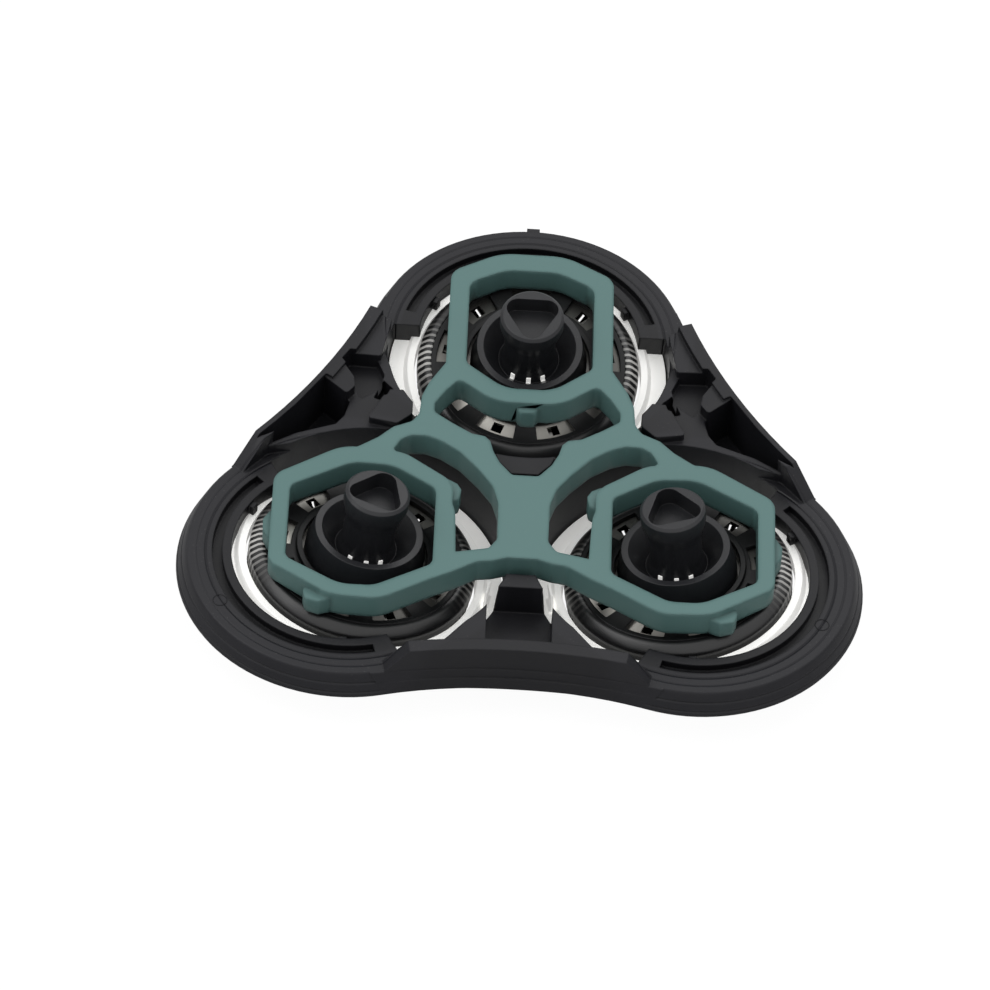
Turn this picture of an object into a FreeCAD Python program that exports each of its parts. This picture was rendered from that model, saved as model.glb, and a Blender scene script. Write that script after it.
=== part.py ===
import FreeCAD, Part
import math
import operator
import os
from types import SimpleNamespace

import Sketcher

# Rotary shaver head: a black three-lobed frame, a bright ring and a tilting shaver unit in each
# lobe, and a green retaining frame on top. The skin side faces down, and +Z points to the drive.
# Lengths are in millimetres and angles in degrees. Heights called level or top count up from the
# rim's widest line, and heights of head pieces run along the head's own leaning axis.

SIZES = {
    # Where the lobes and heads are
    "lobe_reach": 17.96,
    "head_reach": 16.25,
    "head_level": 0.3,
    "head_lean": 8.5,
    # Rim of a lobe
    "rim_radius": 15.09,
    "rim_top_radius": 14.3,
    "rim_top": 2.15,
    "rim_edge": 0.2,
    "rim_waist": 0.2,
    "rim_line_high": 1.25,
    "rim_line_low": 0.45,
    "rim_line": 0.1,
    "nib_reach": 15.05,
    "nib_half": 0.6,
    "nib_low": 0.8,
    "nib_high": 1.6,
    "rim_under": 1.5,
    "rim_under_radius": 13.9,
    "lip_radius": 10.2,
    "groove_inner": 11.0,
    "groove_outer": 11.9,
    "groove_floor": 1.4,
    "lip_half_angle": 75.0,
    "tooth_radius": 9.75,
    "tooth_angle": 61.0,
    "tooth_half": 0.35,
    "tooth_low": 0.9,
    "tooth_high": 1.9,
    "bay_radius": 12.95,
    "bay_end": 1.5,
    "skin_hub": 3.25,
    "skin_hub_radius": 4.3,
    "skin_slope": 6.5,
    # Wings between the lobes
    "wing_reach": 21.0,
    "wing_end": 10.5,
    "wing_hollow": 50.0,
    "wing_top": 4.6,
    "platform_top": 3.2,
    "lug_top": 4.0,
    "rib_top": 4.3,
    "shelf_floor": 2.3,
    "notch_floor": 1.6,
    "pocket_floor": 0.6,
    "recess_floor": 0.6,
    "hub_radius": 12.5,
    "hub_top": 2.6,
    "tab_top": 3.0,
    # Green retaining frame
    "retainer_thickness": 2.55,
    "loop_reach": 16.6,
    "bump_drop": 0.65,
    "under_clearance": 0.75,
    # Skin ring
    "ring_inner": 10.45,
    "ring_flange": 12.8,
    "ring_boss": 12.2,
    "ring_lip": 11.1,
    "ring_flange_top": 1.1,
    "ring_flange_under": 1.6,
    "ring_lip_top": 0.5,
    "ring_face": 2.1,
    "ring_gap": 0.05,
    # Slotted cap
    "cap_radius": 10.15,
    "cap_face_radius": 9.55,
    "cap_face": 2.6,
    "cap_wall": 0.3,
    "cap_shoulder": 0.6,
    "cap_top_radius": 9.25,
    "cap_top": 0.85,
    "cap_eye": 5.3,
    "slot_start": 6.3,
    "slot_width": 0.3,
    "slot_count": 90,
    "slot_end": 0.5,
    # Centre inlay of the cap
    "inlay_thickness": 0.6,
    "inlay_boss_radius": 1.2,
    "inlay_boss": 1.1,
    # Cap holder
    "fit_gap": 0.05,
    "holder_wall": 0.55,
    "holder_depth": 1.6,
    "holder_plate": 0.45,
    "collar_outer": 6.15,
    "collar_top": 1.3,
    "window_inner": 6.6,
    "window_outer": 8.45,
    "window_angle": 25.0,
    "window_count": 9,
    # Lock plate
    "plate_outer": 8.75,
    "plate_thickness": 0.28,
    "plate_hole": 1.0,
    "plate_hole_reach": 7.5,
    # Cutter
    "cutter_disc": 6.3,
    "cutter_eye": 1.5,
    "cutter_top": 0.2,
    "cutter_sheet": 0.3,
    "blade_count": 15,
    "blade_inner": 6.0,
    "blade_outer": 9.0,
    "blade_thickness": 0.35,
    "blade_arm": 1.0,
    "blade_gap": 0.15,
    # Drive coupling
    "run_gap": 0.3,
    "drum_radius": 5.35,
    "drum_top": 1.4,
    "skirt_radius": 4.85,
    "skirt_top": 3.6,
    "skirt_wall": 0.6,
    "dish_floor": 1.6,
    "dish_root": 2.75,
    "neck_radius": 2.35,
    "neck_top": 5.2,
    "cup_radius": 2.9,
    "cup_under": 7.1,
    "cup_top": 8.45,
    "cup_bevel": 0.25,
    "socket_radius": 2.55,
    "socket_corner": 1.05,
    "socket_depth": 1.8,
}

# Each head: the direction of its lobe and how far its drive socket is turned.
HEADS = {"top": (90, 60), "left": (210, 100), "right": (330, 15)}
LOBES = 3
FULL_TURN = 360.0
SHEET = "Sizes"


class Term:
    """A size that keeps its number and the formula that binds a feature to the sheet."""

    def __init__(self, value, text):
        self.value = float(value)
        self.text = text

    def joined(self, sign, other, work):
        other = as_term(other)
        return Term(work(self.value, other.value), f"({self.text} {sign} {other.text})")

    def __add__(self, other):
        return self.joined("+", other, operator.add)

    def __sub__(self, other):
        return self.joined("-", other, operator.sub)

    def __mul__(self, other):
        return self.joined("*", other, operator.mul)

    def __truediv__(self, other):
        return self.joined("/", other, operator.truediv)

    def __neg__(self):
        return as_term(0) - self


def as_term(number):
    return number if isinstance(number, Term) else Term(number, repr(float(number)))


def cosine(angle):
    angle = as_term(angle)
    return Term(math.cos(math.radians(angle.value)), f"cos({angle.text})")


def sine(angle):
    angle = as_term(angle)
    return Term(math.sin(math.radians(angle.value)), f"sin({angle.text})")


size = SimpleNamespace(**{name: Term(value, f"{SHEET}.{name}") for name, value in SIZES.items()})

# The part stands on the inner edges of its three caps.
LIFT = (size.cap_face * cosine(size.head_lean) + size.cap_face_radius * sine(size.head_lean)
        - size.head_level)
# The origin is under the middle of the outline, so the hub lies behind it.
HUB_Y = -(size.lobe_reach / 4)


def make_sheet(doc):
    sheet = doc.addObject("Spreadsheet::Sheet", SHEET)
    for row, (name, value) in enumerate(SIZES.items(), start=1):
        sheet.set(f"A{row}", name)
        sheet.set(f"B{row}", str(value))
        sheet.setAlias(f"B{row}", name)
    doc.recompute()


def vector(across, up):
    return FreeCAD.Vector(across, up, 0)


def origin_part(body, role):
    return next(part for part in body.Origin.OriginFeatures if part.Role == role)


def make_body(doc, label, yaw=0, reach=None, level=0.0, lean=0.0):
    """Body whose own Z axis leans towards the hub, set out in the direction yaw."""
    body = doc.addObject("PartDesign::Body", label)
    body.Label = label
    reach = as_term(reach or 0)
    level = as_term(level)
    across = reach * cosine(yaw)
    along = reach * sine(yaw) + HUB_Y
    body.setExpression("Placement", f"placement(vector({across.text}; {along.text}; "
                                    f"{(level + LIFT).text}); "
                                    f"rotation({yaw}; {(-as_term(lean)).text}; 0))")
    return body


def head_body(doc, label, yaw):
    return make_body(doc, label, yaw, size.head_reach, size.head_level, size.head_lean)


def sketch_on(body, name, role="XY_Plane", height=0.0, turn=0.0, reach=0.0, lean=0.0):
    """Sketch on an origin plane, set off from it by height, reach, turn and lean."""
    sketch = body.newObject("Sketcher::SketchObject", name)
    sketch.AttachmentSupport = (origin_part(body, role), [""])
    sketch.MapMode = "FlatFace"
    reach = as_term(reach)
    height = as_term(height)
    lean = as_term(lean)
    across = reach * cosine(turn) - height * sine(lean) * cosine(turn)
    along = reach * sine(turn) - height * sine(lean) * sine(turn)
    up = height * cosine(lean)
    sketch.setExpression("AttachmentOffset", f"placement(vector({across.text}; {along.text}; "
                                             f"{up.text}); rotation({turn}; {(-lean).text}; 0))")
    return sketch


def bind(sketch, kind, geometry, end, amount):
    """Constrain a point's distance from the sketch origin, and bind it to the sheet."""
    index = sketch.addConstraint(Sketcher.Constraint(kind, -1, 1, geometry, end, amount.value))
    if SHEET in amount.text:
        sketch.setExpression(f"Constraints[{index}]", amount.text)


def outline(sketch, corners):
    """Closed straight-sided outline whose corners are bound to the sheet."""
    corners = [(as_term(across), as_term(up)) for across, up in corners]
    count = len(corners)
    first = sketch.GeometryCount
    for step, (start, end) in enumerate(zip(corners, corners[1:] + corners[:1])):
        sketch.addGeometry(Part.LineSegment(vector(start[0].value, start[1].value),
                                            vector(end[0].value, end[1].value)), False)
        if step:
            sketch.addConstraint(Sketcher.Constraint("Coincident", first + step - 1, 2,
                                                     first + step, 1))
    sketch.addConstraint(Sketcher.Constraint("Coincident", first + count - 1, 2, first, 1))
    for step, (across, up) in enumerate(corners):
        bind(sketch, "DistanceX", first + step, 1, across)
        bind(sketch, "DistanceY", first + step, 1, up)


def circle(sketch, radius):
    index = sketch.addGeometry(Part.Circle(vector(0, 0), FreeCAD.Vector(0, 0, 1), radius.value))
    sketch.addConstraint(Sketcher.Constraint("Coincident", index, 3, -1, 1))
    rule = sketch.addConstraint(Sketcher.Constraint("Radius", index, radius.value))
    sketch.setExpression(f"Constraints[{rule}]", radius.text)


def arc(middle, radius, start, end):
    """Arc about a point from one angle to another, turning left."""
    around = Part.Circle(vector(*middle), FreeCAD.Vector(0, 0, 1), radius)
    return Part.ArcOfCircle(around, math.radians(start), math.radians(end))


def sector(sketch, inner, outer, half_angle):
    """Ring sector about the sketch origin, as wide to each side of its X axis."""
    sketch.addGeometry(arc((0, 0), outer, -half_angle, half_angle))
    sketch.addGeometry(arc((0, 0), inner, -half_angle, half_angle))
    for side in (-1, 1):
        turn = math.radians(side * half_angle)
        way = vector(math.cos(turn), math.sin(turn))
        sketch.addGeometry(Part.LineSegment(way * inner, way * outer))


def rounded(sketch, corners):
    """Closed outline through corners (x, y, radius), each rounded by its own radius."""
    count = len(corners)
    ends = []
    for step, (across, up, radius) in enumerate(corners):
        here = vector(across, up)
        before = vector(*corners[step - 1][:2]) - here
        after = vector(*corners[(step + 1) % count][:2]) - here
        before.normalize()
        after.normalize()
        half = before.getAngle(after) / 2
        reach = radius / math.tan(half)
        middle = before + after
        middle.normalize()
        bulge = here + middle * (radius / math.sin(half) - radius)
        ends.append((here + before * reach, bulge, here + after * reach, radius))
    for step, (enter, bulge, leave, radius) in enumerate(ends):
        if radius:
            sketch.addGeometry(Part.Arc(enter, bulge, leave), False)
        sketch.addGeometry(Part.LineSegment(leave, ends[(step + 1) % count][0]), False)


def revolve(body, name, corners):
    sketch = sketch_on(body, name + "_profile", "XZ_Plane")
    outline(sketch, corners)
    feature = body.newObject("PartDesign::Revolution", name)
    feature.Profile = sketch
    feature.ReferenceAxis = (sketch, ["V_Axis"])
    feature.Angle = FULL_TURN
    return feature


def pad(body, name, sketch, length):
    feature = body.newObject("PartDesign::Pad", name)
    feature.Profile = sketch
    feature.setExpression("Length", as_term(length).text)
    return feature


def pocket(body, name, sketch, length=None, upward=False):
    feature = body.newObject("PartDesign::Pocket", name)
    feature.Profile = sketch
    feature.Reversed = upward
    if length is None:
        feature.Type = "ThroughAll"
    else:
        feature.setExpression("Length", as_term(length).text)
    return feature


def polar(body, name, features, count):
    pattern = body.newObject("PartDesign::PolarPattern", name)
    pattern.Originals = features
    pattern.Axis = (origin_part(body, "Z_Axis"), [""])
    pattern.Angle = FULL_TURN
    if isinstance(count, Term):
        pattern.setExpression("Occurrences", count.text)
    else:
        pattern.Occurrences = count
    body.Tip = pattern
    return pattern


# Head frame. In its own axes the first lobe lies along +X, and the wings at 60, 180 and 300.

def rim_lobe(body):
    """Round block of one lobe, with two fine lines round its sloped side."""
    sketch = sketch_on(body, "lobe_profile", "XZ_Plane")
    shoulder = size.rim_top - size.rim_edge
    slope = (size.rim_radius - size.rim_top_radius) / (shoulder - size.rim_waist)
    lines = []
    for level in (size.rim_line_high, size.rim_line_low):
        middle = size.lobe_reach + size.rim_top_radius + (shoulder - level) * slope
        lines += [(middle - size.rim_line * slope, level + size.rim_line),
                  (middle - size.rim_line, level),
                  (middle + size.rim_line * slope, level - size.rim_line)]
    outline(sketch, [
        (size.lobe_reach, size.rim_top),
        (size.lobe_reach + size.rim_top_radius - size.rim_edge, size.rim_top),
        (size.lobe_reach + size.rim_top_radius, shoulder),
        *lines,
        (size.lobe_reach + size.rim_radius, size.rim_waist),
        (size.lobe_reach + size.rim_radius, 0),
        (size.lobe_reach + size.rim_under_radius, -size.rim_under),
        (size.lobe_reach, -(size.skin_hub + size.head_level)),
    ])
    axis = sketch.addGeometry(Part.LineSegment(vector(SIZES["lobe_reach"], -1),
                                               vector(SIZES["lobe_reach"], 1)), True)
    for end in (1, 2):
        bind(sketch, "DistanceX", axis, end, size.lobe_reach)
    lobe = body.newObject("PartDesign::Revolution", "lobe")
    lobe.Profile = sketch
    lobe.ReferenceAxis = (sketch, ["Axis0"])
    lobe.Angle = FULL_TURN
    polar(body, "lobes", [lobe], LOBES)


def nib(body):
    """Small mark on the side of the first lobe, at its far end."""
    sketch = sketch_on(body, "nib_outline", height=size.nib_low)
    root = size.lobe_reach + size.rim_under_radius
    tip = size.lobe_reach + size.nib_reach
    outline(sketch, [(root, -size.nib_half), (tip, -size.nib_half),
                     (tip, size.nib_half), (root, size.nib_half)])
    pad(body, "nib", sketch, size.nib_high - size.nib_low)


def wing_bow(reach, end, hollow):
    """End angles and middle of the hollow arc that joins two lobes across a wing."""
    middle = reach + hollow
    half = math.degrees(math.asin(end / hollow))
    return middle, 180 - half, 180 + half


def web(body):
    """Floor that joins the lobes, with the three hollow sides of the wings."""
    sketch = sketch_on(body, "web_outline", height=-size.skin_hub)
    reach, hollow, end = (SIZES[key] for key in ("wing_reach", "wing_hollow", "wing_end"))
    middle, first, last = wing_bow(reach, end, hollow)
    corners = []
    for wing in (60, 180, 300):
        turn = FreeCAD.Rotation(FreeCAD.Vector(0, 0, 1), wing)
        ways = [turn.multVec(vector(middle + hollow * math.cos(math.radians(angle)),
                                    hollow * math.sin(math.radians(angle))))
                for angle in (last, 180, first)]
        sketch.addGeometry(Part.Arc(*ways), False)
        corners.append(ways)
    for step, ways in enumerate(corners):
        sketch.addGeometry(Part.LineSegment(ways[2], corners[(step + 1) % LOBES][0]), False)
    pad(body, "web", sketch, size.skin_hub + size.rim_top)
    spokes = sketch_on(body, "hub_outline")
    circle(spokes, size.hub_radius)
    pad(body, "hub", spokes, size.hub_top)


# Outer wall of a wing, from its foot up: height, distance of its outer face from the hub and
# thickness. The short steps are the two fine lines along its face.
WALL = [(-1.2, 21.0, 2.2), (0.0, 22.05, 2.2), (1.15, 21.95, 2.2), (1.16, 21.83, 2.2),
        (2.15, 21.78, 2.2)]
CREST = [(2.16, 21.68, 1.25), (SIZES["wing_top"], 21.55, 1.25)]
# Ends of the crest at those two heights, across the wing: towards a side lobe and the top lobe.
SIDE_ENDS = [(-12.6, 9.6), (-9.84, 9.1)]
NEAR_ENDS = [(-11.6, 11.6), (-9.4, 9.4)]


def rim_at(level):
    """Radius of a lobe's side at a height, without its fine lines."""
    if level < 0:
        fall = (SIZES["rim_radius"] - SIZES["rim_under_radius"]) / SIZES["rim_under"]
        return SIZES["rim_radius"] + level * fall
    shoulder = SIZES["rim_top"] - SIZES["rim_edge"]
    slope = (SIZES["rim_radius"] - SIZES["rim_top_radius"]) / (shoulder - SIZES["rim_waist"])
    across = SIZES["rim_top_radius"] + (shoulder - level) * slope
    return max(SIZES["rim_top_radius"], min(SIZES["rim_radius"], across))


def blend_bow(reach, rim):
    """Radius of the hollow arc that touches both neighbouring lobes, and where it does so."""
    along = SIZES["lobe_reach"] * math.cos(math.radians(60))
    aside = SIZES["lobe_reach"] * math.sin(math.radians(60))
    middle = (along ** 2 + aside ** 2 - (rim - reach) ** 2) / (2 * (along + rim - reach))
    bow = middle - reach
    return bow, aside * bow / (bow + rim)


def wall_outline(sketch, reach, bow, wall, low_end, high_end):
    """Bowed band of a wing's outer wall, between two places across the wing."""
    middle = reach + bow
    angles = [math.asin(place / bow) for place in (high_end, low_end)]
    rims = []
    for radius in (bow, bow + wall):
        points = [vector(middle - radius * math.cos(angle), radius * math.sin(angle))
                  for angle in (angles[0], sum(angles) / 2, angles[1])]
        sketch.addGeometry(Part.Arc(*points), False)
        rims.append(points)
    sketch.addGeometry(Part.LineSegment(rims[0][0], rims[1][0]), False)
    sketch.addGeometry(Part.LineSegment(rims[1][2], rims[0][2]), False)


def wing_wall(body, wing, ends):
    """Outer wall of a wing: it runs smoothly into the lobes, and its crest stands above them."""
    sections = []
    for step, (height, reach, wall) in enumerate(WALL + CREST):
        sketch = sketch_on(body, f"wall_outline_{wing}_{step}", height=height, turn=wing)
        bow, touch = blend_bow(reach, rim_at(height))
        places = (-touch, touch) if step < len(WALL) else ends[step - len(WALL)]
        wall_outline(sketch, reach, bow, wall, *places)
        sections.append(sketch)
    loft = body.newObject("PartDesign::AdditiveLoft", f"wall_{wing}")
    loft.Profile = sections[0]
    loft.Sections = sections[1:]
    loft.Ruled = True


# Plan outlines of a wing's inner parts: distance from the hub, place across the wing towards the
# top lobe, and corner radius.
PLATFORM = [(21.2, 8.0, 0), (21.6, -10.2, 0), (14.2, -2.6, 0.4), (12.6, -1.5, 0.5),
            (12.2, 0.4, 0.5), (12.9, 1.6, 0.5), (14.4, 2.6, 0.3), (16.6, 4.2, 0)]
LUG = [(15.3, -2.3, 0.3), (12.7, -1.4, 0.5), (12.2, 0.4, 0.5), (12.9, 1.6, 0.5),
       (14.4, 2.4, 0.3), (15.6, 1.6, 0.3)]
BENCH = [(22.0, 9.2, 0), (21.3, 3.4, 0), (20.6, 3.6, 0.3), (18.4, 4.8, 0.3), (19.0, 6.5, 0),
         (20.0, 9.2, 0)]
SHELF = [(20.9, 3.5, 0.2), (18.6, 4.7, 0.2), (17.2, 3.6, 0.3), (16.6, 2.0, 0.3), (17.4, -0.2, 0.2),
         (18.3, 0.5, 0.2), (19.0, 1.2, 0.2), (20.9, 2.1, 0.2)]
POCKET = [(21.05, -0.3, 0.2), (19.8, -0.4, 0.2), (18.0, -1.0, 0.3), (17.5, -2.7, 0.4),
          (17.6, -4.0, 0.4), (19.9, -6.9, 0.5), (21.5, -9.9, 0.1), (22.0, -10.3, 0),
          (21.6, -7.8, 0), (21.25, -5.0, 0)]
NOTCH = [(16.9, 3.0, 0), (15.6, 2.6, 0.3), (15.3, 0.9, 0.3), (16.5, 0.6, 0.2)]
SLIT = [(18.2, -1.3, 0), (17.75, -1.5, 0), (17.75, -3.2, 0), (18.2, -3.0, 0)]
RIB = [(21.5, -0.4, 0), (21.5, 2.0, 0), (20.7, 2.0, 0.2), (18.9, 1.0, 0.3), (18.2, 0.1, 0.3),
       (18.3, -1.1, 0.3), (19.6, -0.8, 0.3)]
NEAR_PLATFORM = [(21.4, 8.0, 0), (21.4, -8.0, 0), (16.6, -4.2, 0), (14.4, -3.6, 0.3),
                 (12.4, -2.4, 0.5), (12.4, 2.4, 0.5), (14.4, 3.6, 0.3), (16.6, 4.2, 0)]
NEAR_LUG = [(13.7, -2.1, 0.2), (12.2, -1.9, 0.4), (12.2, 1.9, 0.4), (13.7, 2.1, 0.2)]
RECESS = [(19.9, -2.9, 0.3), (13.7, -2.9, 0.3), (13.7, 2.9, 0.3), (19.9, 2.9, 0.3)]


def plan(corners, side):
    """Corners with their place across the wing put on the side of the top lobe."""
    return [(reach, side * place, radius) for reach, place, radius in corners]


def wing_block(body, name, wing, corners, top, foot=0.0):
    sketch = sketch_on(body, f"{name}_outline_{wing}", height=foot, turn=wing)
    rounded(sketch, corners)
    pad(body, f"{name}_{wing}", sketch, as_term(top) - foot)


def wing_hollow(body, name, wing, corners, floor):
    sketch = sketch_on(body, f"{name}_outline_{wing}", height=floor, turn=wing)
    rounded(sketch, corners)
    pocket(body, f"{name}_{wing}", sketch, upward=True)


def wing_inside(body, wing, side):
    """Platform, lug and bench of a side wing, with the hollows between them and a rib."""
    wing_block(body, "platform", wing, plan(PLATFORM, side), size.platform_top)
    wing_block(body, "lug", wing, plan(LUG, side), size.lug_top)
    wing_block(body, "bench", wing, plan(BENCH, side), size.lug_top)
    wing_hollow(body, "shelf", wing, plan(SHELF, side), size.shelf_floor)
    wing_hollow(body, "notch", wing, plan(NOTCH, side), size.notch_floor)
    wing_hollow(body, "pocket", wing, plan(POCKET, side), -size.pocket_floor)
    slit = sketch_on(body, f"slit_outline_{wing}", turn=wing)
    rounded(slit, plan(SLIT, side))
    pocket(body, f"slit_{wing}", slit)
    wing_block(body, "rib", wing, plan(RIB, side), size.rib_top, -size.pocket_floor)


def near_wing_inside(body, wing):
    """Platform of the near wing, with a short lug and one square recess."""
    wing_block(body, "platform", wing, NEAR_PLATFORM, size.platform_top)
    wing_hollow(body, "recess", wing, RECESS, size.recess_floor)
    wing_block(body, "lug", wing, NEAR_LUG, size.lug_top)


def tab(body):
    """Raised wedge on the hub, under the point of the retaining frame's opening."""
    sketch = sketch_on(body, "tab_outline")
    outline(sketch, [(0.7, 1.2), (0.7, -1.2), (2.0, -2.35), (3.2, -2.75), (3.2, 2.75), (2.0, 2.35)])
    pad(body, "tab", sketch, size.tab_top)


def head_bays(body):
    """Cuts for one head and its ring, repeated for the other two."""
    flange = size.head_level - size.ring_flange_under
    lean = {"reach": size.head_reach, "lean": size.head_lean}
    ledge = sketch_on(body, "bay_outline", height=flange, **lean)
    radius = SIZES["bay_radius"]
    edge = SIZES["lobe_reach"] + SIZES["bay_end"] - SIZES["head_reach"]
    half = math.degrees(math.acos(edge / radius))
    rise = radius * math.sin(math.radians(half))
    ledge.addGeometry(arc((0, 0), radius, half, FULL_TURN - half))
    ledge.addGeometry(Part.LineSegment(vector(edge, rise), vector(edge, -rise)))
    bay = pocket(body, "bay", ledge, upward=True)
    cuts = [bay]
    for name, reach, low, length in (
            ("ring_seat", size.ring_flange, size.ring_flange_under,
             size.ring_flange_under - size.ring_flange_top),
            ("ring_lip_way", size.ring_lip + size.cap_wall, size.ring_flange_top,
             size.ring_flange_top - size.ring_lip_top + size.ring_gap)):
        sketch = sketch_on(body, name + "_outline", height=size.head_level - low, **lean)
        circle(sketch, reach + size.ring_gap)
        cuts.append(pocket(body, name, sketch, length, upward=True))
    through_outline = sketch_on(body, "ring_way_outline", height=flange, **lean)
    circle(through_outline, size.ring_boss + size.ring_gap)
    cuts.append(pocket(body, "ring_way", through_outline))
    bore_outline = sketch_on(body, "bore_outline", height=size.wing_top, reach=size.lobe_reach)
    circle(bore_outline, size.lip_radius)
    cuts.append(pocket(body, "bore", bore_outline))
    groove_outline = sketch_on(body, "groove_outline", height=size.groove_floor,
                               reach=size.lobe_reach)
    sector(groove_outline, SIZES["groove_inner"], SIZES["groove_outer"], SIZES["lip_half_angle"])
    cuts.append(pocket(body, "groove", groove_outline, upward=True))
    polar(body, "bays", cuts, LOBES)


def lip_teeth(body):
    """Two small teeth on the inside of each lobe's lip."""
    teeth = []
    for name, sign in (("left", 1), ("right", -1)):
        sketch = sketch_on(body, f"tooth_outline_{name}", height=size.tooth_low,
                           reach=size.lobe_reach)
        turn = math.radians(sign * SIZES["tooth_angle"])
        way = vector(math.cos(turn), math.sin(turn))
        beside = vector(-math.sin(turn), math.cos(turn)) * SIZES["tooth_half"]
        inner = way * SIZES["tooth_radius"]
        outer = way * (SIZES["lip_radius"] + SIZES["tooth_half"])
        corners = (inner - beside, outer - beside, outer + beside, inner + beside)
        rounded(sketch, [(place.x, place.y, 0) for place in corners])
        teeth.append(pad(body, f"tooth_{name}", sketch, size.tooth_high - size.tooth_low))
    polar(body, "teeth", teeth, LOBES)


def skin_side(body):
    """Shallow cone that forms the whole skin side."""
    far = size.lobe_reach * 3
    slope = sine(size.skin_slope) / cosine(size.skin_slope)
    rise = (far - size.skin_hub_radius) * slope - size.skin_hub
    sketch = sketch_on(body, "skin_profile", "XZ_Plane")
    outline(sketch, [(0, -far), (far, -far), (far, rise), (size.skin_hub_radius, -size.skin_hub),
                     (0, -size.skin_hub)])
    groove = body.newObject("PartDesign::Groove", "skin")
    groove.Profile = sketch
    groove.ReferenceAxis = (sketch, ["V_Axis"])
    groove.Angle = FULL_TURN


def head_frame(doc):
    body = make_body(doc, "head_frame", yaw=90)
    rim_lobe(body)
    nib(body)
    web(body)
    for wing, side in ((60, -1), (300, 1)):
        ends = SIDE_ENDS if side > 0 else [(-high, -low) for low, high in SIDE_ENDS]
        wing_wall(body, wing, ends)
        wing_inside(body, wing, side)
    wing_wall(body, 180, NEAR_ENDS)
    near_wing_inside(body, 180)
    tab(body)
    head_bays(body)
    lip_teeth(body)
    skin_side(body)
    return body


# Retaining frame. Its plan outlines are (x, y, corner radius) from the hub, right half first.

WEB_SIDE = [(1.35, -11.3, 0.3), (2.65, -11.75, 1), (4.0, -11.95, 1), (6.15, -13.3, 2),
            (8.6, -14.6, 0), (13.0, -8.0, 0), (16.4, 0.4, 0), (15.0, 1.0, 2), (13.3, 2.25, 1),
            (12.0, 3.6, 1), (10.35, 4.4, 0.8), (9.75, 5.4, 1), (9.6, 7.6, 2), (9.0, 9.3, 1.5),
            (7.3, 12.4, 0)]
POINT_SIDE = [(1.2, -1.45, 0.5), (2.35, 0.0, 1), (2.95, 1.3, 0.5), (3.25, 2.5, 0.3),
              (3.75, 3.05, 0.5), (4.95, 3.3, 1), (6.8, 4.5, 1.5), (8.4, 5.7, 0.6),
              (8.4, 6.8, 0.6), (7.5, 8.4, 1), (6.3, 9.9, 0.5), (4.2, 8.45, 3), (1.5, 7.5, 3)]
LENS = [(11.9, 0.9, 0.3), (11.3, 2.1, 0.5), (10.4, 2.7, 0.6), (9.0, 2.75, 0.8), (7.7, 2.25, 2),
        (5.9, 1.0, 3), (4.1, -1.1, 3), (2.85, -2.9, 2), (2.3, -4.8, 2), (2.25, -9.2, 0.7),
        (3.0, -10.3, 0.6), (5.9, -10.95, 0), (6.15, -4.5, 6.0)]


def mirrored(corners):
    """The right-hand corners, then the same on the left, as one outline."""
    return corners + [(-across, up, radius) for across, up, radius in reversed(corners)]


def loop_middle(yaw):
    reach = SIZES["loop_reach"]
    return reach * math.cos(math.radians(yaw)), reach * math.sin(math.radians(yaw))


# Outlines of the loops about their own middles, (x, y, corner radius): the top loop, and the right
# one, which the left one mirrors.
TOP_LOOP = [(-7.5, 6.9, 1.8), (-3.0, 9.5, 5), (3.0, 9.5, 5), (7.5, 6.9, 1.8), (7.6, -5.6, 1.6),
            (3.0, -9.2, 4.5), (-3.0, -9.2, 4.5), (-7.6, -5.6, 1.6)]
TOP_HOLE = [(-5.75, 5.6, 1.4), (-2.4, 7.4, 4), (2.4, 7.4, 4), (5.75, 5.6, 1.4), (5.75, -4.6, 1.0),
            (2.2, -7.5, 3.5), (-2.2, -7.5, 3.5), (-5.75, -4.6, 1.0)]
TOP_BUMPS = [[(-1.6, -8.0, 0), (-0.7, -9.8, 0.4), (0.7, -9.8, 0.4), (1.6, -8.0, 0)]]
SIDE_LOOP = [(-8.0, 5.6, 2.2), (-3.4, 8.9, 3.5), (2.0, 9.3, 4.0), (8.0, 5.4, 1.8), (8.0, -4.9, 1.6),
             (2.4, -8.4, 4.5), (-2.0, -8.6, 3.5), (-8.0, -5.0, 1.6)]
SIDE_HOLE = [(-6.5, 4.7, 1.0), (-2.6, 7.2, 3.5), (1.0, 7.4, 3.5), (6.5, 4.2, 1.0), (6.5, -4.3, 1.0),
             (1.6, -7.1, 3.5), (-1.4, -7.1, 2.5), (-6.5, -4.2, 1.0)]
SIDE_BUMPS = [[(-7.5, 6.5, 0), (-8.35, 6.0, 0.2), (-8.75, 5.3, 0.3), (-8.55, 4.2, 0.4),
               (-7.5, 3.5, 0)],
              [(7.4, 1.9, 0), (8.15, 1.5, 0.3), (8.7, 0.5, 0.4), (8.65, -0.6, 0.4),
               (8.15, -1.7, 0.3), (7.4, -2.0, 0)],
              [(4.4, -6.5, 0), (4.75, -7.6, 0.4), (4.5, -8.5, 0.4), (3.3, -8.8, 0.4),
               (2.3, -8.3, 0.3), (1.9, -7.4, 0)]]


def looped(head, corners):
    """Corners of a loop's outline moved to the loop of one head."""
    across, up = loop_middle(HEADS[head][0])
    if head == "left":
        corners = [(-x, y, radius) for x, y, radius in corners]
    return [(across + x, up + y, radius) for x, y, radius in corners]


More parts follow.
